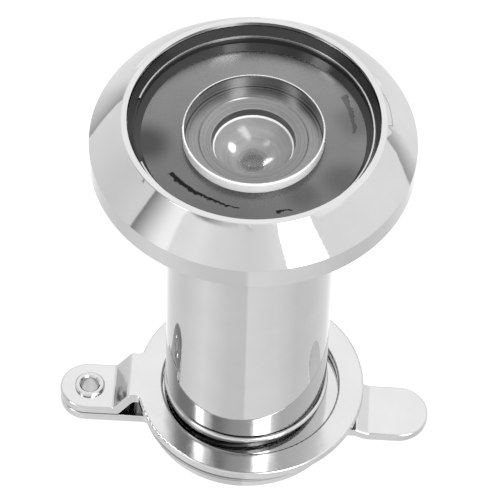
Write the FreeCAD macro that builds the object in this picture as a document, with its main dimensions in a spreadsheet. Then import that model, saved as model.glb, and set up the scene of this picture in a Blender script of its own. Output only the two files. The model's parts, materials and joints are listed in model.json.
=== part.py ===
import FreeCAD, Part
import math
import os
import Sketcher

# A door viewer for a bored hole in a door, in millimetres.
# The optical axis is Z and +Z looks out of the door. Z = 0 is the outside face of the door, where
# the bevelled head seats. The eyepiece half screws into the outer half from below and pinches the
# door between the head and a loose ring plate, which carries a cover that swings aside on a rivet.

DIMENSIONS = {
    # the bevelled head
    "head_radius": 15.25,
    "head_band": 2.25,
    "head_height": 5.4,
    "rim_outer": 12.3,
    "rim_inner": 11.75,
    "bevel_curve": 60.0,
    "edge_round": 0.12,
    "recess_floor": 1.6,
    # the outer barrel
    "barrel_radius": 8.0,
    "barrel_length": 34.05,
    "barrel_chamfer": 0.3,
    "barrel_bore": 7.3,
    "female_length": 10.0,
    # the thread between the two barrels
    "thread_major": 7.1,
    "thread_depth": 0.5,
    "thread_pitch": 1.0,
    "thread_crest": 0.2,
    "thread_clearance": 0.1,
    "thread_relief": 2.5,
    "thread_neck": 2.6,
    "thread_height": 22.7,
    "female_height": 11.5,
    # the lens cell in the head
    "cell_radius": 11.7,
    "cell_top": 4.95,
    "cell_lip": 11.24,
    "cell_ledge": 3.95,
    "cell_wall": 11.05,
    "cell_chamfer": 0.6,
    "cell_chamfer_rise": 0.42,
    "cell_floor": 2.87,
    "cell_tube": 7.25,
    "cell_bottom": 8.6,
    "cell_bore": 5.25,
    "cell_play": 0.03,
    "snap_ring_outer": 11.2,
    "snap_ring_inner": 11.06,
    "snap_ring_height": 0.2,
    "snap_gap": 40.0,
    "snap_turn": 205.0,
    # the objective and its ring
    "ring_radius": 6.62,
    "ring_wall": 0.24,
    "ring_top": 3.97,
    "ring_step": 0.12,
    "insert_land": 2.47,
    "insert_mouth": 5.1,
    "insert_step": 0.08,
    "insert_throat": 3.93,
    "insert_throat_top": 2.1,
    "insert_hole": 3.75,
    "objective_face": 1.45,
    "objective_back": 1.45,
    "objective_dish": 3.7,
    "objective_curve": 4.0,
    "stop_hole": 1.5,
    "stop_height": 0.2,
    # the two lenses behind it, and what spaces and holds them
    "inner_lens": 5.2,
    "inner_lens_land": 4.5,
    "inner_lens_curve": 7.5,
    "spacer_wall": 0.7,
    "upper_spacer": 0.3,
    "lower_spacer": 0.6,
    "middle_lens_edge": 2.3,
    "rear_lens_edge": 1.6,
    "cell_ring_height": 1.2,
    "cell_ring_wall": 1.0,
    "cell_ring_slot": 0.8,
    "cell_ring_slot_depth": 0.5,
    # the eyepiece half
    "tube_length": 25.2,
    "tube_bore": 5.45,
    "tube_chamfer": 0.35,
    "collar_radius": 8.15,
    "collar_height": 2.35,
    "collar_round": 0.3,
    "flange_radius": 10.4,
    "flange_height": 2.0,
    "flange_chamfer": 0.45,
    "flange_round": 0.2,
    "slot_width": 1.8,
    "slot_depth": 1.0,
    "slot_start": 7.4,
    "eyepiece_radius": 5.9,
    "eyepiece_play": 0.04,
    "eyepiece_seat": 1.3,
    "eyepiece_edge": 1.7,
    "eyepiece_curve_top": 12.0,
    "eyepiece_curve_bottom": 18.0,
    "eyepiece_ring_height": 0.9,
    "eyepiece_ring_wall": 0.85,
    "eyepiece_ring_gap": 24.0,
    # the ring plate under the door and the cover that swings on its ear
    "door_thickness": 35.5,
    "flange_gap": 0.1,
    "plate_offset": 0.46,
    "plate_radius": 11.3,
    "plate_hole": 8.77,
    "sheet": 1.0,
    "ear_width": 5.5,
    "ear_end": 18.55,
    "ear_drop": 2.2,
    "ear_bend": 12.35,
    "ear_run": 0.75,
    "bend_inside": 0.45,
    "ear_root": 0.4,
    "sheet_round": 0.22,
    "pivot_distance": 15.6,
    "pivot_hole": 1.3,
    "cover_radius": 9.85,
    "cover_play": 0.08,
    "tab_width": 6.1,
    "tab_end": 18.35,
    "tab_drop": 0.5,
    "tab_bend": 11.9,
    "tab_run": 0.6,
    "cover_root": 1.1,
    # the tubular rivet and its washer
    "washer_height": 0.15,
    "washer_radius": 2.3,
    "rivet_shank": 1.22,
    "rivet_hole": 0.9,
    "rivet_head": 1.5,
    "rivet_head_height": 0.3,
}

doc = FreeCAD.newDocument("door_viewer")
sheet = doc.addObject("Spreadsheet::Sheet", "Dimensions")
for row, (name, value) in enumerate(DIMENSIONS.items(), start=1):
    sheet.set("A%d" % row, name)
    sheet.set("B%d" % row, str(value))
    sheet.setAlias("B%d" % row, name)
doc.recompute()


class Size:
    """A length or an angle, with the spreadsheet expression that drives it."""

    def __init__(self, value, text):
        self.value = value
        self.text = text

    def join(self, sign, other, value):
        text = other.text if isinstance(other, Size) else str(other)
        return Size(value, "(%s %s %s)" % (self.text, sign, text))

    def __add__(self, other):
        return self.join("+", other, self.value + amount(other))

    def __sub__(self, other):
        return self.join("-", other, self.value - amount(other))

    def __mul__(self, other):
        return self.join("*", other, self.value * amount(other))

    def __truediv__(self, other):
        return self.join("/", other, self.value / amount(other))

    def __neg__(self):
        return Size(-self.value, "(0 - %s)" % self.text)


def amount(size):
    return size.value if isinstance(size, Size) else size


def dim(name):
    """The named driving dimension, as read from the spreadsheet."""
    return Size(float(sheet.get(name)), "Dimensions." + name)


def new_body(label):
    body = doc.addObject("PartDesign::Body", label)
    body.Label = label
    return body


def new_sketch(body, role, name):
    sketch = body.newObject("Sketcher::SketchObject", name)
    planes = [feature for feature in body.Origin.OriginFeatures if feature.Role == role]
    sketch.AttachmentSupport = (planes[0], "")
    sketch.MapMode = "FlatFace"
    return sketch


def hold(sketch, kind, picks, size):
    """Add a dimension to the sketch, driven by the spreadsheet."""
    index = sketch.addConstraint(Sketcher.Constraint(kind, *picks, amount(size)))
    if isinstance(size, Size):
        sketch.setExpression("Constraints[%d]" % index, size.text)


def hold_point(sketch, edge, end, x, y):
    """Dimension a point from the sketch's origin, or put it on the axis where it is zero."""
    for kind, axis, size in (("DistanceX", -2, x), ("DistanceY", -1, y)):
        if amount(size) == 0:
            sketch.addConstraint(Sketcher.Constraint("PointOnObject", edge, end, axis))
        else:
            hold(sketch, kind, (-1, 1, edge, end), size)


def draw_outline(sketch, corners):
    """Draw a closed outline of corners (x, y) or (x, y, radius).

    A corner's radius bends the edge that leaves it into an arc: positive turns left along the
    outline, negative turns right.
    """
    ends = []
    for index, corner in enumerate(corners):
        start = FreeCAD.Vector(amount(corner[0]), amount(corner[1]), 0)
        following = corners[(index + 1) % len(corners)]
        finish = FreeCAD.Vector(amount(following[0]), amount(following[1]), 0)
        if len(corner) == 2:
            edge = sketch.addGeometry(Part.LineSegment(start, finish))
            ends.append((edge, 1, 2))
            continue
        bend = amount(corner[2])
        chord = finish - start
        across = FreeCAD.Vector(-chord.y, chord.x, 0).normalize()
        height = math.sqrt(bend * bend - chord.Length * chord.Length / 4)
        centre = (start + finish) * 0.5 + across * math.copysign(height, bend)
        first, last = (start, finish) if bend > 0 else (finish, start)
        angles = [math.atan2(point.y - centre.y, point.x - centre.x) for point in (first, last)]
        circle = Part.Circle(centre, FreeCAD.Vector(0, 0, 1), abs(bend))
        edge = sketch.addGeometry(Part.ArcOfCircle(circle, angles[0], angles[1]))
        ends.append((edge, 1, 2) if bend > 0 else (edge, 2, 1))
    for index, (edge, _, finish_end) in enumerate(ends):
        next_edge, next_start, _ = ends[(index + 1) % len(ends)]
        sketch.addConstraint(Sketcher.Constraint("Coincident", edge, finish_end, next_edge, next_start))
    for (edge, start_end, _), corner in zip(ends, corners):
        hold_point(sketch, edge, start_end, corner[0], corner[1])
        if len(corner) == 3:
            radius = corner[2] if amount(corner[2]) > 0 else -corner[2]
            hold(sketch, "Radius", (edge,), radius)


def draw_circle(sketch, x, y, radius):
    centre = FreeCAD.Vector(amount(x), amount(y), 0)
    circle = sketch.addGeometry(Part.Circle(centre, FreeCAD.Vector(0, 0, 1), amount(radius)))
    hold_point(sketch, circle, 3, x, y)
    hold(sketch, "Radius", (circle,), radius)


def revolve(body, corners, gap=None):
    """Turn a profile of (radius, height) corners about the Z axis, leaving a gap in degrees."""
    sketch = new_sketch(body, "XZ_Plane", body.Label + "_profile")
    draw_outline(sketch, corners)
    turned = body.newObject("PartDesign::Revolution", body.Label + "_turned")
    turned.Profile = sketch
    turned.ReferenceAxis = (sketch, ["V_Axis"])
    if gap is None:
        turned.Angle = 360
    else:
        turned.setExpression("Angle", "360 - %s" % gap.text)
    return turned


def pad(body, sketch, length, name, downward=False, both_ways=False):
    feature = body.newObject("PartDesign::Pad", body.Label + "_" + name)
    feature.Profile = sketch
    feature.setExpression("Length", length.text)
    feature.Reversed = downward
    feature.Midplane = both_ways
    doc.recompute()
    return feature


def pocket(body, sketch, length, name, upward):
    feature = body.newObject("PartDesign::Pocket", body.Label + "_" + name)
    feature.Profile = sketch
    feature.setExpression("Length", length.text)
    feature.Reversed = upward
    doc.recompute()
    return feature


def round_edges(body, radius, wanted, name):
    """Fillet every edge of the body's tip for which wanted(edge) holds."""
    doc.recompute()
    base = body.Tip
    names = ["Edge%d" % (index + 1) for index, edge in enumerate(base.Shape.Edges) if wanted(edge)]
    fillet = body.newObject("PartDesign::Fillet", body.Label + "_" + name)
    fillet.Base = (base, names)
    fillet.setExpression("Radius", radius.text)
    doc.recompute()
    return fillet


def cut_thread(body, corners, height, name):
    """Cut a right-hand thread groove of the given profile up the Z axis."""
    doc.recompute()
    sketch = new_sketch(body, "XZ_Plane", body.Label + "_" + name + "_profile")
    draw_outline(sketch, corners)
    groove = body.newObject("PartDesign::SubtractiveHelix", body.Label + "_" + name)
    groove.Profile = sketch
    groove.ReferenceAxis = (sketch, ["V_Axis"])
    groove.Mode = 0
    groove.setExpression("Pitch", dim("thread_pitch").text)
    groove.setExpression("Height", height.text)
    groove.Angle = 0
    doc.recompute()
    return groove


def place(body, x=None, z=None):
    for axis, size in (("x", x), ("z", z)):
        if size is not None:
            body.setExpression("Placement.Base." + axis, size.text)


def is_ring(edge, radius, height):
    """Whether an edge is a full circle about the axis, of this radius at this height."""
    curve = edge.Curve
    if not isinstance(curve, Part.Circle):
        return False
    return abs(curve.Radius - amount(radius)) < 1e-4 and abs(curve.Center.z - amount(height)) < 1e-4


# The outer half, which passes through the door from outside.

FLANK = math.tan(math.radians(30))


def make_outer_barrel():
    """Chromed brass head and smooth barrel in one piece, with a female thread at its end.

    The head's bevel is very slightly domed.
    """
    body = new_body("outer_barrel")
    crest = dim("thread_major") - dim("thread_depth") + dim("thread_clearance") * 2
    end = -dim("barrel_length")
    chamfer = dim("barrel_chamfer")
    thread_top = end + dim("female_length")
    revolve(body, [
        (dim("rim_inner"), dim("head_height")),
        (dim("rim_inner"), dim("recess_floor")),
        (dim("barrel_bore"), dim("recess_floor")),
        (dim("barrel_bore"), thread_top + dim("thread_depth")),
        (crest, thread_top),
        (crest, end + chamfer),
        (crest + chamfer, end),
        (dim("barrel_radius") - chamfer, end),
        (dim("barrel_radius"), end + chamfer),
        (dim("barrel_radius"), Size(0, "0")),
        (dim("head_radius"), Size(0, "0")),
        (dim("head_radius"), dim("head_band"), dim("bevel_curve")),
        (dim("rim_outer"), dim("head_height")),
    ])

    def bright_edge(edge):
        rings = (("head_radius", "head_band"), ("rim_outer", "head_height"))
        return any(is_ring(edge, dim(radius), dim(height)) for radius, height in rings)

    round_edges(body, dim("edge_round"), bright_edge, "rounded")
    # Its grooves run where the ridges of the inner barrel's thread pass, with clearance all round.
    middle = thread_start() - dim("thread_pitch") * 2
    root = dim("thread_major") + dim("thread_clearance")
    inside = crest - dim("thread_depth") / 2
    root_half = groove_half(root)
    inside_half = groove_half(inside)
    cut_thread(body, [
        (inside, middle - inside_half),
        (root, middle - root_half),
        (root, middle + root_half),
        (inside, middle + inside_half),
    ], dim("female_height"), "thread")
    return body


def thread_start():
    """The height of a thread ridge's middle on the X axis, near the end of the outer barrel."""
    flange_top = -(dim("door_thickness") + dim("sheet") + dim("flange_gap"))
    return flange_top + dim("thread_relief") + dim("thread_pitch")


def groove_half(radius):
    """Half the width of the female groove at a radius: the ridge's, plus the clearance."""
    flank = (dim("thread_major") - radius) * FLANK
    return dim("thread_crest") / 2 + flank + dim("thread_clearance")


def make_lens_cell():
    """Blackened cell that fills the head's recess and carries the lens stack down the barrel."""
    body = new_body("lens_cell")
    seat = dim("ring_radius") + dim("cell_play")
    shoulder = -dim("objective_back")
    revolve(body, [
        (dim("cell_radius"), dim("cell_top")),
        (dim("cell_lip"), dim("cell_ledge") + dim("snap_ring_height")),
        (dim("cell_lip"), dim("cell_ledge")),
        (dim("cell_wall"), dim("cell_ledge")),
        (dim("cell_wall"), dim("cell_floor") + dim("cell_chamfer_rise")),
        (dim("cell_wall") - dim("cell_chamfer"), dim("cell_floor")),
        (seat, dim("cell_floor")),
        (seat, shoulder),
        (dim("cell_bore"), shoulder),
        (dim("cell_bore"), -dim("cell_bottom")),
        (dim("cell_tube"), -dim("cell_bottom")),
        (dim("cell_tube"), dim("recess_floor")),
        (dim("cell_radius"), dim("recess_floor")),
    ])
    return body


def make_snap_ring():
    """Split flat ring, bright, that keeps the lens cell in the head."""
    body = new_body("front_snap_ring")
    outer = dim("snap_ring_outer")
    inner = dim("snap_ring_inner")
    bottom = dim("cell_ledge")
    top = bottom + dim("snap_ring_height")
    revolve(body, [(inner, bottom), (outer, bottom), (outer, top), (inner, top)], dim("snap_gap"))
    body.setExpression("Placement.Rotation.Angle", dim("snap_turn").text)
    return body


def make_objective_ring():
    """Bright ring round the objective, standing proud of the dark floor of the cell."""
    body = new_body("objective_ring")
    bore = dim("ring_radius") - dim("ring_wall")
    step = dim("ring_step")
    top = dim("ring_top")
    revolve(body, [
        (bore, -dim("objective_back")),
        (dim("ring_radius"), -dim("objective_back")),
        (dim("ring_radius"), top - step),
        (dim("ring_radius") - step / 2, top),
        (bore + step / 2, top),
        (bore, top - step),
    ])
    return body


def sagitta(curve, reach):
    """How far a lens surface of this curve falls or rises over its reach from the axis."""
    value = amount(curve) - math.sqrt(amount(curve) ** 2 - amount(reach) ** 2)
    return Size(value, "(%s - sqrt(%s ^ 2 - %s ^ 2))" % (curve.text, curve.text, reach.text))


def make_objective_lens():
    """Plano-concave front lens, a deep round dish in its outer face and its flat face behind."""
    body = new_body("objective_lens")
    radius = dim("ring_radius") - dim("ring_wall") - dim("cell_play")
    curve = dim("objective_curve")
    dish = dim("objective_dish")
    face = dim("objective_face")
    back = -dim("objective_back")
    revolve(body, [
        (Size(0, "0"), face - sagitta(curve, dish), curve),
        (dish, face),
        (radius, face),
        (radius, back),
        (Size(0, "0"), back),
    ])
    return body


def make_front_insert():
    """Satin insert that holds the front lens down, with a shallow cone round its throat."""
    body = new_body("front_insert")
    radius = dim("ring_radius") - dim("ring_wall") - dim("cell_play")
    mouth = dim("insert_mouth")
    step = dim("insert_step")
    revolve(body, [
        (radius, dim("objective_face")),
        (radius, dim("insert_land")),
        (mouth, dim("insert_land")),
        (mouth - step, dim("insert_land") - step),
        (dim("insert_throat"), dim("insert_throat_top")),
        (dim("insert_hole"), dim("objective_face")),
    ])
    return body


def make_stop_disc(top, bottom):
    """Thin disc with a small hole behind the front lens, which stops stray light."""
    body = new_body("stop_disc")
    outer = dim("inner_lens")
    hole = dim("stop_hole")
    revolve(body, [(hole, bottom), (outer, bottom), (outer, top), (hole, top)])
    return body


def cell_stack():
    """Heights of the faces down the lens cell, from the objective's back to the ring's end."""
    levels = [-dim("objective_back")]
    edges = (
        "stop_height", "upper_spacer", "middle_lens_edge", "lower_spacer", "rear_lens_edge",
        "cell_ring_height")
    for name in edges:
        levels.append(levels[-1] - dim(name))
    return levels


def make_spacer(label, top, bottom):
    """Plain blackened ring between two lenses."""
    body = new_body(label)
    outer = dim("inner_lens")
    inner = outer - dim("spacer_wall")
    revolve(body, [(inner, bottom), (outer, bottom), (outer, top), (inner, top)])
    return body


def make_middle_lens(top, bottom):
    """Biconcave second lens."""
    body = new_body("middle_lens")
    land = dim("inner_lens_land") - dim("spacer_wall") / 2
    sag = sagitta(dim("inner_lens_curve") * 1.5, land)
    revolve(body, [
        (Size(0, "0"), bottom + sag, -(dim("inner_lens_curve") * 1.5)),
        (land, bottom),
        (dim("inner_lens"), bottom),
        (dim("inner_lens"), top),
        (land, top, -(dim("inner_lens_curve") * 1.5)),
        (Size(0, "0"), top - sag),
    ])
    return body


def make_rear_lens(top, bottom):
    """Plano-convex third lens, its curved face towards the eye."""
    body = new_body("rear_lens")
    land = dim("inner_lens_land") - dim("spacer_wall")
    sag = sagitta(dim("inner_lens_curve"), land)
    revolve(body, [
        (Size(0, "0"), bottom - sag, dim("inner_lens_curve")),
        (land, bottom),
        (dim("inner_lens"), bottom),
        (dim("inner_lens"), top),
        (Size(0, "0"), top),
    ])
    return body


def make_cell_ring(top, bottom):
    """Slotted ring that locks the lens stack in the cell."""
    body = new_body("cell_lock_ring")
    outer = dim("inner_lens")
    inner = outer - dim("cell_ring_wall")
    revolve(body, [(inner, bottom), (outer, bottom), (outer, top), (inner, top)])
    doc.recompute()
    sketch = new_sketch(body, "XY_Plane", "cell_lock_ring_slots")
    sketch.setExpression("AttachmentOffset.Base.z", bottom.text)
    half = dim("cell_ring_slot") / 2
    reach = outer + dim("cell_ring_slot")
    draw_outline(sketch, [(-reach, -half), (reach, -half), (reach, half), (-reach, half)])
    pocket(body, sketch, dim("cell_ring_slot_depth"), "slotted", upward=True)
    return body


# The inner half, which screws in from the room side.

def make_inner_barrel():
    """Threaded tube with a slotted flange, its Z = 0 at the flange's top face.

    A collar above the flange fills the ring plate's hole, and stops against the outer barrel's end
    on the thinnest door.
    """
    body = new_body("inner_barrel")
    top = dim("tube_length")
    chamfer = dim("tube_chamfer")
    bottom = -dim("flange_height")
    seat = dim("eyepiece_radius") + dim("eyepiece_play")
    root = dim("thread_major") - dim("thread_depth")
    neck = dim("thread_neck")
    revolve(body, [
        (seat, bottom),
        (dim("flange_radius") - dim("flange_chamfer"), bottom),
        (dim("flange_radius"), bottom + dim("flange_chamfer")),
        (dim("flange_radius"), -dim("flange_round")),
        (dim("flange_radius") - dim("flange_round"), Size(0, "0")),
        (dim("collar_radius"), Size(0, "0")),
        (dim("collar_radius"), dim("collar_height")),
        (root, dim("collar_height")),
        (root, neck),
        (dim("thread_major"), neck + dim("thread_depth")),
        (dim("thread_major"), top - chamfer),
        (dim("thread_major") - chamfer, top),
        (dim("tube_bore"), top),
        (dim("tube_bore"), dim("eyepiece_seat")),
        (seat, dim("eyepiece_seat")),
    ])

    def collar_edge(edge):
        return is_ring(edge, dim("collar_radius"), dim("collar_height"))

    round_edges(body, dim("collar_round"), collar_edge, "rounded")
    sketch = new_sketch(body, "XY_Plane", "inner_barrel_slots")
    sketch.setExpression("AttachmentOffset.Base.z", bottom.text)
    half = dim("slot_width") / 2
    reach = dim("flange_radius") + dim("slot_width")
    draw_outline(sketch, [
        (dim("slot_start"), -half), (reach, -half), (reach, half), (dim("slot_start"), half)])
    draw_outline(sketch, [
        (-reach, -half), (-dim("slot_start"), -half), (-dim("slot_start"), half), (-reach, half)])
    pocket(body, sketch, dim("slot_depth"), "slotted", upward=True)
    outside = dim("thread_major") + dim("thread_depth") / 2
    middle = dim("thread_relief") + dim("thread_pitch") / 2
    outside_half = ridge_gap_half(outside)
    root_half = ridge_gap_half(root)
    cut_thread(body, [
        (root, middle - root_half),
        (outside, middle - outside_half),
        (outside, middle + outside_half),
        (root, middle + root_half),
    ], dim("thread_height"), "thread")
    place(body, z=-(dim("door_thickness") + dim("sheet") + dim("flange_gap")))
    return body


def ridge_gap_half(radius):
    """Half the width of the groove between two ridges of the male thread at a radius."""
    flank = (dim("thread_major") - radius) * FLANK
    return dim("thread_pitch") / 2 - dim("thread_crest") / 2 - flank


def make_eyepiece_lens():
    """Biconvex eyepiece, seated from the room side against a shoulder in the tube."""
    body = new_body("eyepiece_lens")
    radius = dim("eyepiece_radius")
    top = dim("eyepiece_seat")
    bottom = top - dim("eyepiece_edge")
    land = dim("tube_bore") - dim("eyepiece_play") * 2
    clear = dim("eyepiece_radius") - dim("eyepiece_ring_wall") - dim("eyepiece_play")
    revolve(body, [
        (Size(0, "0"), bottom - sagitta(dim("eyepiece_curve_bottom"), clear), dim("eyepiece_curve_bottom")),
        (clear, bottom),
        (radius, bottom),
        (radius, top),
        (land, top, dim("eyepiece_curve_top")),
        (Size(0, "0"), top + sagitta(dim("eyepiece_curve_top"), land)),
    ])
    place(body, z=-(dim("door_thickness") + dim("sheet") + dim("flange_gap")))
    return body


def make_eyepiece_ring():
    """Split spring ring that holds the eyepiece in the flange."""
    body = new_body("eyepiece_ring")
    outer = dim("eyepiece_radius")
    inner = outer - dim("eyepiece_ring_wall")
    top = dim("eyepiece_seat") - dim("eyepiece_edge")
    bottom = top - dim("eyepiece_ring_height")
    bevel = dim("eyepiece_ring_height") / 3
    revolve(body, [
        (inner, top),
        (inner, bottom + bevel),
        (inner + bevel, bottom),
        (outer, bottom),
        (outer, top),
    ], dim("eyepiece_ring_gap"))
    place(body, z=-(dim("door_thickness") + dim("sheet") + dim("flange_gap")))
    return body


# The sheet-metal plates under the door.

def joggled_strip(body, start, end, bend, run, drop, direction, width, name):
    """Pad a strip that leaves the plate along X and steps down by drop at the bend.

    The plate's top is at Z = 0. The step is a slope of the plate's own thickness between two bends.
    """
    sketch = new_sketch(body, "XZ_Plane", body.Label + "_" + name + "_profile")
    thick = dim("sheet")
    slope = math.atan2(amount(drop), amount(run) * 2)
    shift = thick * Size(math.tan(slope / 2), "tan(atan2(%s; %s) / 2)" % (drop.text, (run * 2).text))
    near = bend - run
    far = bend + run
    top = [(start, Size(0, "0")), (near, Size(0, "0")), (far, -drop), (end, -drop)]
    bottom = [(end, -drop - thick), (far - shift, -drop - thick), (near - shift, -thick), (start, -thick)]
    draw_outline(sketch, [(x * direction, z) for x, z in top + bottom])
    strip = pad(body, sketch, width, name, both_ways=True)
    bends = [(x * direction, z) for x, z in (top[1], top[2], bottom[1], bottom[2])]

    def is_bend(edge):
        return any(runs_across(edge, x, z) for x, z in bends)

    round_edges(body, dim("bend_inside"), is_bend, name + "_bends")
    return strip


def runs_across(edge, x, z):
    """Whether an edge runs straight across a strip, along Y, at this place."""
    ends = [vertex.Point for vertex in (edge.Vertexes[0], edge.Vertexes[-1])]
    level = all(abs(point.x - amount(x)) < 1e-4 and abs(point.z - amount(z)) < 1e-4 for point in ends)
    return level and abs(ends[0].y - ends[1].y) > 1e-4


def is_outline(edge, skipped):
    """Whether an edge runs round the outside of a plate: not upright, across, or in a pivot hole."""
    first, last = edge.Vertexes[0].Point, edge.Vertexes[-1].Point
    span = last - first
    upright = span.Length > 1e-4 and abs(span.x) + abs(span.y) < 1e-4
    across = span.Length > 1e-4 and abs(span.x) + abs(span.z) < 1e-4
    in_hole = isinstance(edge.Curve, Part.Circle) and abs(edge.Curve.Radius - amount(skipped)) < 1e-4
    return not (upright or across or in_hole)


def is_upright_corner(edge, x, half_width):
    """Whether an edge is one of the two upright corners at the end of a strip."""
    first, last = edge.Vertexes[0].Point, edge.Vertexes[-1].Point
    upright = abs(first.x - last.x) < 1e-4 and abs(first.y - last.y) < 1e-4
    return upright and abs(first.x - amount(x)) < 1e-4 and abs(abs(first.y) - amount(half_width)) < 1e-4


def round_strip_end(body, x, width, name):
    """Round the end of a strip to a semicircle, short of a full one by a hair."""
    half = width / 2
    hair = 0.02
    round_edges(body, half - hair, lambda edge: is_upright_corner(edge, x, half), name)


def round_roots(body, width, radius, centre, direction, bend, name):
    """Round the two inner corners where a strip leaves the edge of its disc."""
    half = width / 2
    x = amount(centre) + direction * math.sqrt(amount(radius) ** 2 - amount(half) ** 2)
    round_edges(body, bend, lambda edge: is_upright_corner(edge, x, half), name)


def pierce(body, x, radius, depth, name):
    sketch = new_sketch(body, "XY_Plane", body.Label + "_" + name + "_circle")
    draw_circle(sketch, x, Size(0, "0"), radius)
    pocket(body, sketch, depth, name, upward=False)


def make_ring_plate():
    """Loose ring plate that bears on the door, its ear joggled down to carry the cover."""
    body = new_body("ring_plate")
    sketch = new_sketch(body, "XY_Plane", "ring_plate_outline")
    draw_circle(sketch, dim("plate_offset"), Size(0, "0"), dim("plate_radius"))
    pad(body, sketch, dim("sheet"), "disc", downward=True)
    start = dim("plate_radius") - dim("ear_width") / 2
    joggled_strip(
        body, start, dim("ear_end"), dim("ear_bend"), dim("ear_run"), dim("ear_drop"), -1,
        dim("ear_width"), "ear")
    round_strip_end(body, -dim("ear_end"), dim("ear_width"), "ear_round")
    centre = dim("plate_offset")
    round_roots(
        body, dim("ear_width"), dim("plate_radius"), centre, -1, dim("ear_root"), "ear_roots")
    deep = dim("ear_drop") + dim("sheet") * 2
    pierce(body, centre, dim("plate_hole"), deep, "bore")
    pierce(body, -dim("pivot_distance"), dim("pivot_hole"), deep, "pivot")
    round_edges(body, dim("sheet_round"), lambda edge: is_outline(edge, dim("pivot_hole")), "tumbled")
    place(body, z=-dim("door_thickness"))
    return body


def cover_top():
    """Height of the cover's top face, below the ear and the pivot washer."""
    return -(dim("door_thickness") + dim("ear_drop") + dim("sheet") + dim("washer_height"))


def make_swing_cover():
    """Disc that covers the eyepiece, with a pivot ear and a finger tab."""
    body = new_body("swing_cover")
    sketch = new_sketch(body, "XY_Plane", "swing_cover_outline")
    draw_circle(sketch, Size(0, "0"), Size(0, "0"), dim("cover_radius"))
    pad(body, sketch, dim("sheet"), "disc", downward=True)
    start = dim("cover_radius") - dim("ear_width") / 2
    ear = new_sketch(body, "XY_Plane", "swing_cover_ear_outline")
    half = dim("ear_width") / 2
    draw_outline(ear, [
        (-dim("ear_end"), -half), (-start, -half), (-start, half), (-dim("ear_end"), half)])
    pad(body, ear, dim("sheet"), "ear", downward=True)
    round_strip_end(body, -dim("ear_end"), dim("ear_width"), "ear_round")
    centre = Size(0, "0")
    root = dim("cover_root")
    round_roots(body, dim("ear_width"), dim("cover_radius"), centre, -1, root, "ear_roots")
    joggled_strip(
        body, start, dim("tab_end"), dim("tab_bend"), dim("tab_run"), dim("tab_drop"), 1,
        dim("tab_width"), "tab")
    round_strip_end(body, dim("tab_end"), dim("tab_width"), "tab_round")
    round_roots(body, dim("tab_width"), dim("cover_radius"), centre, 1, root, "tab_roots")
    pierce(body, -dim("pivot_distance"), dim("pivot_hole"), dim("sheet") * 2, "pivot")
    round_edges(body, dim("sheet_round"), lambda edge: is_outline(edge, dim("pivot_hole")), "tumbled")
    place(body, z=cover_top())
    return body


def make_pivot_rivet():
    """Tubular rivet rolled over at both ends, about its own axis, Z = 0 at the ear's top."""
    body = new_body("pivot_rivet")
    stack = dim("sheet") * 2 + dim("washer_height")
    head = dim("rivet_head_height")
    play = dim("cover_play")
    mouth = dim("rivet_hole") + head / 2
    revolve(body, [
        (dim("rivet_hole"), head / 2),
        (mouth, head),
        (dim("rivet_head") - head / 2, head),
        (dim("rivet_head"), head / 2),
        (dim("rivet_head"), Size(0, "0")),
        (dim("rivet_shank"), Size(0, "0")),
        (dim("rivet_shank"), -(stack + play)),
        (dim("rivet_head"), -(stack + play)),
        (dim("rivet_head"), -(stack + play + head / 2)),
        (dim("rivet_head") - head / 2, -(stack + play + head)),
        (mouth, -(stack + play + head)),
        (dim("rivet_hole"), -(stack + play + head / 2)),
    ])
    place(body, x=-dim("pivot_distance"), z=-(dim("door_thickness") + dim("ear_drop")))
    return body


def make_pivot_washer():
    """Thin washer between the two ears."""
    body = new_body("pivot_washer")
    play = dim("cover_play")
    thick = dim("washer_height") - play
    revolve(body, [
        (dim("pivot_hole"), -thick),
        (dim("washer_radius"), -thick),
        (dim("washer_radius"), Size(0, "0")),
        (dim("pivot_hole"), Size(0, "0")),
    ])
    place(body, x=-dim("pivot_distance"), z=-(dim("door_thickness") + dim("ear_drop") + dim("sheet")))
    return body


def make_all():
    levels = cell_stack()
    return [
        make_outer_barrel(),
        make_lens_cell(),
        make_snap_ring(),
        make_objective_ring(),
        make_front_insert(),
        make_objective_lens(),
        make_stop_disc(levels[0], levels[1]),
        make_spacer("upper_spacer", levels[1], levels[2]),
        make_middle_lens(levels[2], levels[3]),
        make_spacer("lower_spacer", levels[3], levels[4]),
        make_rear_lens(levels[4], levels[5]),
        make_cell_ring(levels[5], levels[6]),
        make_inner_barrel(),
        make_eyepiece_lens(),
        make_eyepiece_ring(),
        make_ring_plate(),
        make_pivot_washer(),
        make_pivot_rivet(),
        make_swing_cover(),
    ]


def check(pieces):
    """Stop if any feature failed, or if a piece is empty, invalid or not one solid."""
    for feature in doc.Objects:
        if "Invalid" in feature.State or "Error" in feature.State:
            raise RuntimeError("%s failed: %s" % (feature.Name, feature.State))
    for piece in pieces:
        shape = piece.Shape
        if shape.isNull() or not shape.isValid() or len(shape.Solids) != 1:
            raise RuntimeError("%s has no single valid solid" % piece.Label)
        box = shape.optimalBoundingBox()
        print("%-16s %9.2f mm3  z %7.2f to %7.2f" % (piece.Label, shape.Volume, box.ZMin, box.ZMax))


pieces = make_all()
doc.recompute()
check(pieces)
os.makedirs("parts", exist_ok=True)
for piece in pieces:
    piece.Shape.exportStep("parts/%s.step" % piece.Label)
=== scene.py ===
import json
import math

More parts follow.
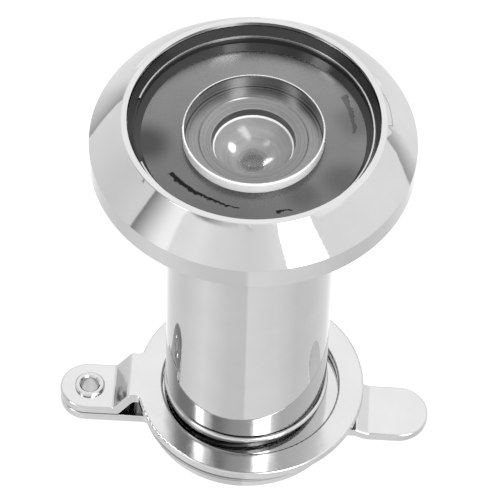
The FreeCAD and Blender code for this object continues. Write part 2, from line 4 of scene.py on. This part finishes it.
import bmesh
import bpy
from mathutils import Euler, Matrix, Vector


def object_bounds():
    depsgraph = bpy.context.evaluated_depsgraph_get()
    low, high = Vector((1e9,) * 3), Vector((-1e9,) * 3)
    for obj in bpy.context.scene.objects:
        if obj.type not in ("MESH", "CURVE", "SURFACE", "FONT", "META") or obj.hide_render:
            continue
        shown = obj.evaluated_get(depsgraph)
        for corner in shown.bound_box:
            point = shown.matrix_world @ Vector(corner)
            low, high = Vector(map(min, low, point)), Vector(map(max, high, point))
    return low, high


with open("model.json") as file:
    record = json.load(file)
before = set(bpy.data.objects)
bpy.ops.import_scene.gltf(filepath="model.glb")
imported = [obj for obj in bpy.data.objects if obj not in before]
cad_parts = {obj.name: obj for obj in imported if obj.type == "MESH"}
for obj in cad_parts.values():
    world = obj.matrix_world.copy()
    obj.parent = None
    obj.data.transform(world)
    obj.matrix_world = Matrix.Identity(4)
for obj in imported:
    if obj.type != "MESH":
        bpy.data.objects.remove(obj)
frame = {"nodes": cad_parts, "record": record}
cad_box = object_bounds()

# The looks of a chromed door viewer. Everything is in metres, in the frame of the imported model:
# +Z out of the door, +X towards the cover's finger tab.

MM = 0.001
nodes = frame["nodes"]
joints = {joint["name"]: joint for joint in frame["record"]["behaviour"]["joints"]}
THREAD_TRAVEL = -joints["thread_travel"]["range_m"][0]


# ---------------------------------------------------------------------------------------------
# Camera

CAMERA_AIM = Vector((0, 0, -14.24 * MM))
CAMERA_DISTANCE = 394.7 * MM
CAMERA_ELEVATION = 52.2
CAMERA_AZIMUTH = -88.5
CAMERA_ROLL = 1.84
CAMERA_LENS = 297.1
SENSOR_WIDTH = 36


def direction(azimuth, elevation):
    """Unit vector at an azimuth from +X and an elevation above the horizon, in degrees."""
    turn = math.radians(azimuth)
    rise = math.radians(elevation)
    return Vector((math.cos(turn) * math.cos(rise), math.sin(turn) * math.cos(rise), math.sin(rise)))


def make_camera():
    data = bpy.data.cameras.new("camera")
    data.lens = CAMERA_LENS
    data.sensor_width = SENSOR_WIDTH
    data.clip_start = 0.01
    camera = bpy.data.objects.new("camera", data)
    back = direction(CAMERA_AZIMUTH, CAMERA_ELEVATION)
    camera.location = CAMERA_AIM + back * CAMERA_DISTANCE
    upright = back.to_track_quat("Z", "Y")
    camera.rotation_euler = (upright @ Euler((0, 0, math.radians(CAMERA_ROLL))).to_quaternion()).to_euler()
    bpy.context.scene.collection.objects.link(camera)
    bpy.context.scene.camera = camera


# ---------------------------------------------------------------------------------------------
# Node helpers


class Nodes:
    """A node tree with short calls for the few node kinds used here."""

    def __init__(self, tree):
        self.tree = tree
        tree.nodes.clear()

    def add(self, kind, **settings):
        node = self.tree.nodes.new(kind)
        for name, value in settings.items():
            setattr(node, name, value)
        return node

    def feed(self, socket, value):
        """Link an output to a socket, or set the socket's own value."""
        if isinstance(value, bpy.types.NodeSocket):
            self.tree.links.new(value, socket)
        elif value is not None:
            socket.default_value = value

    def math(self, operation, first, second=None, third=None):
        node = self.add("ShaderNodeMath", operation=operation)
        for socket, value in zip(node.inputs, (first, second, third)):
            self.feed(socket, value)
        return node.outputs[0]

    def noise(self, vector, scale, detail=3.0, roughness=0.5):
        node = self.add("ShaderNodeTexNoise")
        self.feed(node.inputs["Vector"], vector)
        node.inputs["Scale"].default_value = scale
        node.inputs["Detail"].default_value = detail
        node.inputs["Roughness"].default_value = roughness
        return node.outputs["Fac"]

    def remap(self, value, low, high, to_low, to_high, smooth=False):
        node = self.add("ShaderNodeMapRange", interpolation_type="SMOOTHSTEP" if smooth else "LINEAR")
        self.feed(node.inputs["Value"], value)
        for name, number in (("From Min", low), ("From Max", high), ("To Min", to_low), ("To Max", to_high)):
            self.feed(node.inputs[name], number)
        return node.outputs["Result"]

    def mix(self, share, first, second):
        """Blend two numbers."""
        node = self.add("ShaderNodeMix", data_type="FLOAT")
        for socket, value in zip((node.inputs[0], node.inputs[2], node.inputs[3]), (share, first, second)):
            self.feed(socket, value)
        return node.outputs[0]

    def grey(self, value):
        node = self.add("ShaderNodeCombineColor")
        for socket in node.inputs:
            self.feed(socket, value)
        return node.outputs["Color"]

    def ramp(self, position, stops):
        """A level that follows (place, level) stops, where place runs from 0 to 1."""
        node = self.add("ShaderNodeValToRGB")
        self.feed(node.inputs["Fac"], position)
        peak = max(level for _, level in stops)
        elements = node.color_ramp.elements
        while len(elements) < len(stops):
            elements.new(0.5)
        for element, (place, level) in zip(elements, sorted(stops)):
            element.position = place
            element.color = (level / peak, level / peak, level / peak, 1)
        return self.math("MULTIPLY", node.outputs["Color"], peak)

    def step(self, value, edge, soft):
        """Rises from 0 to 1 as the value passes the edge, over a width of soft."""
        return self.remap(value, edge - soft / 2, edge + soft / 2, 0, 1, smooth=True)

    def window(self, value, low, high, soft):
        """One between low and high, zero outside, with soft edges."""
        rise = self.step(value, low, soft)
        fall = self.step(self.math("MULTIPLY", value, -1), -high, soft)
        return self.math("MULTIPLY", rise, fall)

    def bump(self, height, strength, distance, normal=None):
        node = self.add("ShaderNodeBump")
        node.inputs["Strength"].default_value = strength
        node.inputs["Distance"].default_value = distance
        self.feed(node.inputs["Height"], height)
        self.feed(node.inputs["Normal"], normal)
        return node.outputs["Normal"]

    def polar(self, vector):
        """Radius, azimuth in degrees and height of a point about the Z axis."""
        split = self.add("ShaderNodeSeparateXYZ")
        self.feed(split.inputs[0], vector)
        x, y, z = split.outputs
        squares = self.math("ADD", self.math("MULTIPLY", x, x), self.math("MULTIPLY", y, y))
        azimuth = self.math("DEGREES", self.math("ARCTAN2", y, x))
        return self.math("SQRT", squares), azimuth, z


def new_material(name):
    """A material with a Principled shader.

    Returns the material, its nodes, the shader and the object coordinates.
    """
    material = bpy.data.materials.new(name)
    material.use_nodes = True
    tree = Nodes(material.node_tree)
    shader = tree.add("ShaderNodeBsdfPrincipled")
    output = tree.add("ShaderNodeOutputMaterial")
    tree.feed(output.inputs["Surface"], shader.outputs[0])
    place = tree.add("ShaderNodeTexCoord").outputs["Object"]
    return material, tree, shader, place


# ---------------------------------------------------------------------------------------------
# Materials


# Just inside the edge of the eyepiece half's flange.
FLANGE_EDGE = 10.2 * MM


def chrome(name, tone=0.47, rough=0.02, ripple=0.0, edge=None):
    """Polished chrome plate: faint tone and gloss changes, fine polish marks, and a soft ripple.

    Beyond the radius of edge, if one is given, it has turning lines, light and dark by height; their dark bands are
    partly painted shade, standing in for the shade between stacked edges.
    """
    material, tree, shader, place = new_material(name)
    cloud = tree.noise(place, 260, 4)
    haze = tree.noise(place, 2600, 3, 0.6)
    shader.inputs["Metallic"].default_value = 1.0
    level = tree.remap(cloud, 0.3, 0.7, tone - 0.012, tone + 0.012)
    if edge:
        radius, _, height = tree.polar(place)
        by_height = tree.add("ShaderNodeCombineXYZ")
        tree.feed(by_height.inputs[2], height)
        # Turning lines by height, partly painted shade: their dark bands stand in for the shade between stacked edges.
        lines = tree.remap(tree.noise(by_height.outputs[0], 2300, 1), 0.4, 0.6, 0.3, 1.0)
        lines = tree.mix(tree.step(radius, edge, 0.05 * MM), 1.0, lines)
        level = tree.math("MULTIPLY", level, lines)
    tree.feed(shader.inputs["Base Color"], tree.grey(level))
    tree.feed(shader.inputs["Roughness"], tree.remap(haze, 0.35, 0.75, rough, rough + 0.04))
    fine = tree.bump(haze, 0.05, 0.01 * MM)
    if ripple:
        fine = tree.bump(tree.noise(place, 210, 2), ripple, 0.6 * MM, fine)
    tree.feed(shader.inputs["Normal"], fine)
    return material


# The floor of the lens cell: its height and its reach from the axis.
CELL_FLOOR = 2.87 * MM
CELL_FLOOR_RADIUS = 10.45 * MM
# Soft dark patches on it: x, y and reach in millimetres, and depth.
FLOOR_DARK_PATCHES = ((-9.9, -1.4, 3.4, 0.6), (8.6, -4.6, 3.0, 0.35), (9.5, 2.4, 3.0, 0.3), (4.8, -6.6, 2.4, 0.3))
# Streaks of cement on it: span of azimuths, radii and half widths, as smear takes them.
LONG_SMEAR = ((-147, -96), (8.85, 8.48, 8.55), (0.3, 0.06))
SHORT_SMEAR = ((-74, -65), (9.1, 9.15, 9.22), (0.17, 0.08))
FAINT_SMEAR = ((6, 34), (9.35, 9.5, 9.7), (0.16, 0.3))
FAINTNESS = 0.45
CEMENT_TONE = 0.016
BLACK_TONE = 0.018


def smear(tree, polar, wobble, span, radii, widths):
    """A ragged streak of cement round the axis.

    It runs over a span of azimuths in degrees. Its middle passes three radii, at its start, halfway
    and at its end, and its half width goes from the first to the second of widths, in millimetres.
    """
    radius, azimuth, _ = polar
    along = tree.remap(azimuth, span[0], span[1], 0, 1)
    bow = radii[1] - (radii[0] + radii[2]) / 2
    arch = tree.math("MULTIPLY", along, tree.math("SUBTRACT", 1, along))
    middle = tree.math("MULTIPLY_ADD", arch, 4 * bow * MM, tree.mix(along, radii[0] * MM, radii[2] * MM))
    middle = tree.math("MULTIPLY_ADD", tree.math("SUBTRACT", wobble, 0.5), 0.75 * MM, middle)
    width = tree.mix(along, widths[0] * MM, widths[1] * MM)
    width = tree.math("MULTIPLY", width, tree.remap(wobble, 0.3, 0.7, 0.6, 1.3))
    off = tree.math("ABSOLUTE", tree.math("SUBTRACT", radius, middle))
    inside = tree.remap(tree.math("DIVIDE", off, width), 0.75, 1.15, 1, 0, smooth=True)
    return tree.math("MULTIPLY", inside, tree.window(azimuth, span[0], span[1], 1.0))


def blot(tree, place, x, y, reach):
    """A soft round patch about a point, in millimetres: 1 in its middle and 0 beyond its reach."""
    node = tree.add("ShaderNodeVectorMath", operation="DISTANCE")
    tree.feed(node.inputs[0], place)
    node.inputs[1].default_value = (x * MM, y * MM, CELL_FLOOR)
    return tree.remap(node.outputs["Value"], reach * MM, 0.2 * reach * MM, 0, 1, smooth=True)


def specks(tree, place, scale, size):
    """Small round dust specks, a few to a patch."""
    cells = tree.add("ShaderNodeTexVoronoi")
    tree.feed(cells.inputs["Vector"], place)
    cells.inputs["Scale"].default_value = scale
    spot = tree.remap(cells.outputs["Distance"], size, size * 0.6, 0, 1)
    chosen = tree.step(tree.noise(place, 420, 2), 0.62, 0.02)
    return tree.math("MULTIPLY", spot, chosen)


def cell_metal():
    """The lens cell: satin dark metal on its floor, with painted shade darker towards -Y, dark patches and cement
    smears, and glossy black walls.
    """
    material, tree, shader, place = new_material("cell_metal")
    polar = tree.polar(place)
    radius, _, height = polar
    cloud = tree.noise(place, 150, 5, 0.6)
    grain = tree.noise(place, 5200, 2)
    ragged = tree.noise(place, 1500, 5, 0.65)
    low = tree.math("LESS_THAN", height, CELL_FLOOR + 0.03 * MM)
    floor = tree.math("MULTIPLY", low, tree.math("LESS_THAN", radius, CELL_FLOOR_RADIUS))
    # Painted shade: the floor's tone runs from darker at -Y to lighter at +Y, standing in for shade from the cell
    # wall.
    across = tree.add("ShaderNodeSeparateXYZ")
    tree.feed(across.inputs[0], place)
    tone = tree.remap(across.outputs[1], -10 * MM, 10 * MM, 0.1, 0.185)
    tone = tree.math("MULTIPLY", tone, tree.remap(cloud, 0.3, 0.75, 0.9, 1.1))
    for x, y, reach, depth in FLOOR_DARK_PATCHES:
        tone = tree.math("MULTIPLY", tone, tree.remap(blot(tree, place, x, y, reach), 0, 1, 1, 1 - depth))
    cement = smear(tree, polar, ragged, *LONG_SMEAR)
    cement = tree.math("MAXIMUM", cement, smear(tree, polar, ragged, *SHORT_SMEAR))
    faint = tree.math("MULTIPLY", smear(tree, polar, ragged, *FAINT_SMEAR), FAINTNESS)
    cement = tree.math("MAXIMUM", cement, faint)
    tone = tree.mix(cement, tone, CEMENT_TONE)
    dust = tree.math("MULTIPLY", specks(tree, place, 700, 0.07), 0.4)
    tone = tree.math("MAXIMUM", tone, dust)
    tree.feed(shader.inputs["Metallic"], floor)
    shader.inputs["Specular IOR Level"].default_value = 0.25
    black = tree.math("MAXIMUM", BLACK_TONE, dust)
    tree.feed(shader.inputs["Base Color"], tree.grey(tree.mix(floor, black, tone)))
    satin = tree.remap(grain, 0.3, 0.7, 0.2, 0.3)
    satin = tree.math("MAXIMUM", satin, tree.math("MULTIPLY", cement, 0.6))
    tree.feed(shader.inputs["Roughness"], tree.mix(floor, 0.12, satin))
    bumps = tree.bump(grain, 0.1, 0.02 * MM, tree.bump(cement, 0.5, 0.05 * MM))
    tree.feed(shader.inputs["Normal"], bumps)
    return material


RING_SPACING = 0.12 * MM


def turned_metal(name, tone, rough):
    """Metal turned on a lathe: fine rings round its axis, each a little lighter or darker."""
    material, tree, shader, place = new_material(name)
    radius, _, height = tree.polar(place)
    across = tree.add("ShaderNodeCombineXYZ")
    tree.feed(across.inputs[0], radius)
    tree.feed(across.inputs[1], height)
    rings = tree.noise(across.outputs[0], 1 / RING_SPACING, 2, 0.6)
    grain = tree.noise(place, 2600, 3)
    level = tree.remap(rings, 0.3, 0.7, 0.8, 1.2)
    level = tree.math("MULTIPLY", level, tree.remap(grain, 0.3, 0.7, 0.95, 1.05))
    shader.inputs["Metallic"].default_value = 1.0
    tree.feed(shader.inputs["Base Color"], tree.grey(tree.math("MULTIPLY", level, tone)))
    tree.feed(shader.inputs["Roughness"], tree.remap(rings, 0.3, 0.7, rough - 0.05, rough + 0.08))
    tree.feed(shader.inputs["Normal"], tree.bump(rings, 0.25, 0.02 * MM))
    return material


# Halfway through the wall of the objective's ring.
RING_MIDDLE = 6.5 * MM


def ring_metal():
    """The objective's ring: bright frosted outside with painted shade that dulls its right side, and a darker polished
    bore.
    """
    material, tree, shader, place = new_material("ring_metal")
    radius, azimuth, _ = tree.polar(place)
    marks = tree.noise(place, 1800, 3, 0.6)
    outside = tree.step(radius, RING_MIDDLE, 0.04 * MM)
    bright = tree.remap(marks, 0.3, 0.7, 0.92, 1.0)
    # Painted shade: the outside dulls towards the right.
    bright = tree.math("MULTIPLY", bright, tree.remap(azimuth, -60, -15, 1, 0.65, smooth=True))
    tree.feed(shader.inputs["Base Color"], tree.grey(tree.mix(outside, 0.32, bright)))
    tree.feed(shader.inputs["Metallic"], tree.remap(outside, 0, 1, 1, 0.1))
    tree.feed(shader.inputs["Roughness"], tree.mix(outside, 0.12, tree.remap(marks, 0.3, 0.7, 0.3, 0.45)))
    tree.feed(shader.inputs["Normal"], tree.bump(marks, 0.08, 0.02 * MM))
    return material


def matt_black():
    """Matt black finish inside the lens cell."""
    material, tree, shader, place = new_material("cell_black")
    grain = tree.noise(place, 2400, 4)
    tree.feed(shader.inputs["Base Color"], tree.grey(tree.remap(grain, 0.3, 0.7, 0.012, 0.03)))
    tree.feed(shader.inputs["Roughness"], tree.remap(grain, 0.3, 0.7, 0.5, 0.7))
    return material


GLASS_IOR = 1.52


def clear_glass():
    """Clear lens glass with a trace of dust on its faces."""
    material, tree, shader, place = new_material("lens_glass")
    shader.inputs["Base Color"].default_value = (0.97, 0.97, 0.97, 1)
    shader.inputs["Transmission Weight"].default_value = 1.0
    shader.inputs["IOR"].default_value = GLASS_IOR
    dust = tree.noise(place, 1800, 5, 0.7)
    tree.feed(shader.inputs["Roughness"], tree.remap(dust, 0.5, 0.8, 0.0, 0.06))
    return material


# The dish of the objective: its edge, half the width of the painted highlight line there, and its clear middle.
DISH_EDGE = 3.69 * MM
DISH_HIGHLIGHT_HALF = 0.07 * MM
PUPIL = 1.1 * MM


def front_glass():
    """The objective: its dish is hazy with polish rings, and its edge has a bright matt line, a painted highlight."""
    material, tree, shader, place = new_material("front_glass")
    radius, _, _ = tree.polar(place)
    rings = tree.add("ShaderNodeCombineXYZ")
    tree.feed(rings.inputs[0], radius)
    polish = tree.noise(rings.outputs[0], 4500, 2, 0.6)
    cloud = tree.noise(place, 600, 3)
    # Painted highlight: a bright matt ring round the dish's edge, where the edge catches the light.
    edge = tree.window(radius, DISH_EDGE - DISH_HIGHLIGHT_HALF, DISH_EDGE + DISH_HIGHLIGHT_HALF, 0.06 * MM)
    haze = tree.remap(polish, 0.3, 0.7, 0.56, 0.74)
    haze = tree.math("MULTIPLY", haze, tree.remap(cloud, 0.3, 0.7, 0.9, 1.1))
    tree.feed(shader.inputs["Base Color"], tree.grey(tree.mix(edge, haze, 0.75)))
    clear = tree.remap(radius, 0.7 * PUPIL, 1.6 * PUPIL, 0.9, 0.6, smooth=True)
    tree.feed(shader.inputs["Transmission Weight"], tree.mix(edge, clear, 0.0))
    tree.feed(shader.inputs["Roughness"], tree.mix(edge, 0.17, 0.4))
    shader.inputs["IOR"].default_value = GLASS_IOR
    return material


def wear(node, material):
    """Give a CAD node this material."""
    mesh = nodes[node].data
    mesh.materials.clear()
    mesh.materials.append(material)


def dress_nodes():
    """Give every CAD node its material."""
    lens = clear_glass()
    black = matt_black()
    wear("outer_barrel", chrome("chrome_outer"))
    wear("inner_barrel", chrome("chrome_inner", 0.46, 0.06, edge=FLANGE_EDGE))
    wear("ring_plate", chrome("chrome_plate", 0.48, 0.13, 0.1))
    wear("swing_cover", chrome("chrome_sheet", 0.48, 0.06, 0.1))
    wear("pivot_rivet", chrome("chrome_rivet", 0.45, 0.12, 0.2))
    wear("pivot_washer", black)
    wear("lens_cell", cell_metal())
    wear("front_snap_ring", turned_metal("snap_wire", 0.4, 0.25))
    wear("objective_ring", ring_metal())
    wear("objective_lens", front_glass())
    wear("front_insert", turned_metal("insert_metal", 0.2, 0.3))
    wear("stop_disc", turned_metal("stop_metal", 0.2, 0.35))
    wear("eyepiece_ring", turned_metal("eyepiece_wire", 0.6, 0.25))
    for node in ("middle_lens", "rear_lens", "eyepiece_lens"):
        wear(node, lens)
    for node in ("upper_spacer", "lower_spacer", "cell_lock_ring"):
        wear(node, black)


# ---------------------------------------------------------------------------------------------
# Floor and light

# The floor close to the object is white. Its tone drifts with azimuth, which shows only in the chrome.
# It lies lower than the cover by the whole travel of the thread, so the longest pose clears it.
FLOOR_REACH = 500 * MM
NEAR_FLOOR = 80 * MM
NEAR_TONES = (
    (-180, 1.02), (-160, 1.18), (-145, 1.31), (-128, 1.20), (-112, 1.08), (-90.5, 1.05), (-88.5, 1.32),
    (-52, 1.24), (-36, 1.12), (-24, 1.02), (-5, 1.01), (15, 1.04), (37, 1.06), (50, 1.15), (75, 1.18),
    (100, 1.10), (126, 1.20), (138, 1.06), (152, 1.01), (180, 1.02))
FAR_TONES = ((-180, 1.2), (0, 1.2), (20, 1.42), (46, 1.42), (57, 1.33), (66, 1.18), (80, 0.84), (100, 0.83),
             (113, 1.13), (123, 1.24), (180, 1.2))
SHADE_START = 150 * MM
SHADE_DEPTH = 0.58

# The tent round the object: brightness by azimuth for the low part that the head's bevel mirrors.
TENT_PANELS = (
    (-180, 1.20), (-169, 1.29), (-163.8, 1.29), (-163.2, 0.40), (-160, 0.66), (-156, 1.00), (-151, 1.40),
    (-146, 1.75), (-139.5, 1.87), (-138, 1.50), (-132, 1.50), (-122, 1.58), (-111, 1.40), (-100, 1.33),
    (-90, 1.27), (-79, 1.29), (-68, 1.48), (-42, 1.43), (-29, 1.41), (-3, 1.48), (20, 1.46), (100, 1.4),
    (147, 1.34), (160, 1.28), (175, 1.20), (180, 1.20))

# The same for the part above it, which the plates and the foot of the barrel mirror, and two lamps.
TENT_TOPS = (
    (-180, 0.62), (-166, 0.66), (-146, 2.2), (-140, 2.2), (-136, 0.55), (-124, 0.60), (-110, 1.05), (-84, 1.20),
    (-76, 1.50), (-48, 2.2), (-36, 1.60), (0, 1.70), (20, 1.85), (60, 1.70), (120, 1.70), (140, 1.30),
    (152, 0.80), (163, 0.62), (180, 0.62))
TENT_ZENITH = 1.45
HORIZON_SHADE = 0.55
KEY_LEVEL = 9.0
SIDE_LEVEL = 7.0


def by_azimuth(stops):
    """Stops by azimuth in degrees as stops from 0 to 1."""
    return [((azimuth + 180) / 360, level) for azimuth, level in stops]


def turn_share(tree, azimuth):
    return tree.remap(azimuth, -180, 180, 0, 1)


def make_floor():
    """Pale glowing floor, so that the object throws hardly any shadow on it."""
    mesh = bpy.data.meshes.new("floor")
    shape = bmesh.new()
    bmesh.ops.create_circle(shape, cap_ends=True, segments=128, radius=FLOOR_REACH)
    shape.to_mesh(mesh)
    shape.free()
    floor = bpy.data.objects.new("floor", mesh)
    floor.location.z = cad_box[0][2] - THREAD_TRAVEL
    bpy.context.scene.collection.objects.link(floor)
    material, tree, shader, place = new_material("floor_paper")
    radius, azimuth, _ = tree.polar(place)
    share = turn_share(tree, azimuth)
    near = tree.ramp(share, by_azimuth(NEAR_TONES))
    far = tree.ramp(share, by_azimuth(FAR_TONES))
    shade = tree.math("MULTIPLY", tree.remap(radius, SHADE_START, FLOOR_REACH, 0, SHADE_DEPTH), tree.window(azimuth, 126, 170, 8))
    far = tree.math("MULTIPLY", far, tree.math("SUBTRACT", 1, shade))
    glow = tree.mix(tree.step(radius, NEAR_FLOOR, 8 * MM), near, far)
    tree.feed(shader.inputs["Emission Color"], tree.grey(glow))
    shader.inputs["Emission Strength"].default_value = 0.92
    shader.inputs["Base Color"].default_value = (0.07, 0.07, 0.07, 1)
    shader.inputs["Roughness"].default_value = 0.9
    shader.inputs["Specular IOR Level"].default_value = 0.0
    mesh.materials.append(material)


def make_tent():
    """World light: a soft tent with a few panels and two strip lamps, bright overhead."""
    world = bpy.data.worlds.new("tent")
    world.use_nodes = True
    bpy.context.scene.world = world
    tree = Nodes(world.node_tree)
    view = tree.add("ShaderNodeTexCoord").outputs["Generated"]
    _, azimuth, height = tree.polar(view)
    elevation = tree.math("DEGREES", tree.math("ARCSINE", height))
    low = tree.ramp(turn_share(tree, azimuth), by_azimuth(TENT_PANELS))
    shade = tree.math("MULTIPLY", tree.remap(elevation, -4, 3, 0, HORIZON_SHADE), tree.window(elevation, -6, 3.2, 0.6))
    shade = tree.math("MULTIPLY", shade, tree.window(azimuth, 5, 60, 10))
    low = tree.math("MULTIPLY", low, tree.math("SUBTRACT", 1, shade))
    top = tree.ramp(turn_share(tree, azimuth), by_azimuth(TENT_TOPS))
    top = tree.mix(tree.step(elevation, 68, 12), top, TENT_ZENITH)
    light = tree.mix(tree.step(elevation, 41, 8), low, top)
    lean = tree.math("MULTIPLY_ADD", tree.math("SUBTRACT", elevation, 31), 0.38, azimuth)
    key = tree.math("MULTIPLY", tree.window(lean, -66, -43, 1.5), tree.window(elevation, 14, 60, 3))
    light = tree.math("MAXIMUM", light, tree.math("MULTIPLY", key, KEY_LEVEL))
    side = tree.math("MULTIPLY", tree.window(azimuth, -164, -149, 2), tree.window(elevation, 42, 60, 3))
    light = tree.math("MAXIMUM", light, tree.math("MULTIPLY", side, SIDE_LEVEL))
    background = tree.add("ShaderNodeBackground")
    output = tree.add("ShaderNodeOutputWorld")
    tree.feed(background.inputs["Color"], tree.grey(light))
    tree.feed(output.inputs["Surface"], background.outputs[0])


# Two round soft boxes that shine on the front lens alone: azimuth, elevation and power.
LENS_LAMPS = ((12, 34, 1.0), (130, 35, 0.8))
LAMP_DISTANCE = 300 * MM
LAMP_WIDTH = 110 * MM


def make_lens_lamps():
    """Soft boxes that show only as round reflections in the dish of the front lens."""
    lit = bpy.data.collections.new("lens_lamps_light")
    lit.objects.link(nodes["objective_lens"])
    for azimuth, elevation, power in LENS_LAMPS:
        data = bpy.data.lights.new("lens_lamp", "AREA")
        data.shape = "DISK"
        data.size = LAMP_WIDTH
        data.energy = power
        lamp = bpy.data.objects.new("lens_lamp", data)
        away = direction(azimuth, elevation)
        lamp.location = away * LAMP_DISTANCE
        lamp.rotation_euler = away.to_track_quat("Z", "Y").to_euler()
        lamp.light_linking.receiver_collection = lit
        lamp.visible_diffuse = False
        lamp.visible_transmission = False
        bpy.context.scene.collection.objects.link(lamp)


def make_light():
    make_tent()
    make_lens_lamps()
    bpy.context.scene.view_settings.view_transform = "Standard"


make_camera()
dress_nodes()
make_floor()
make_light()
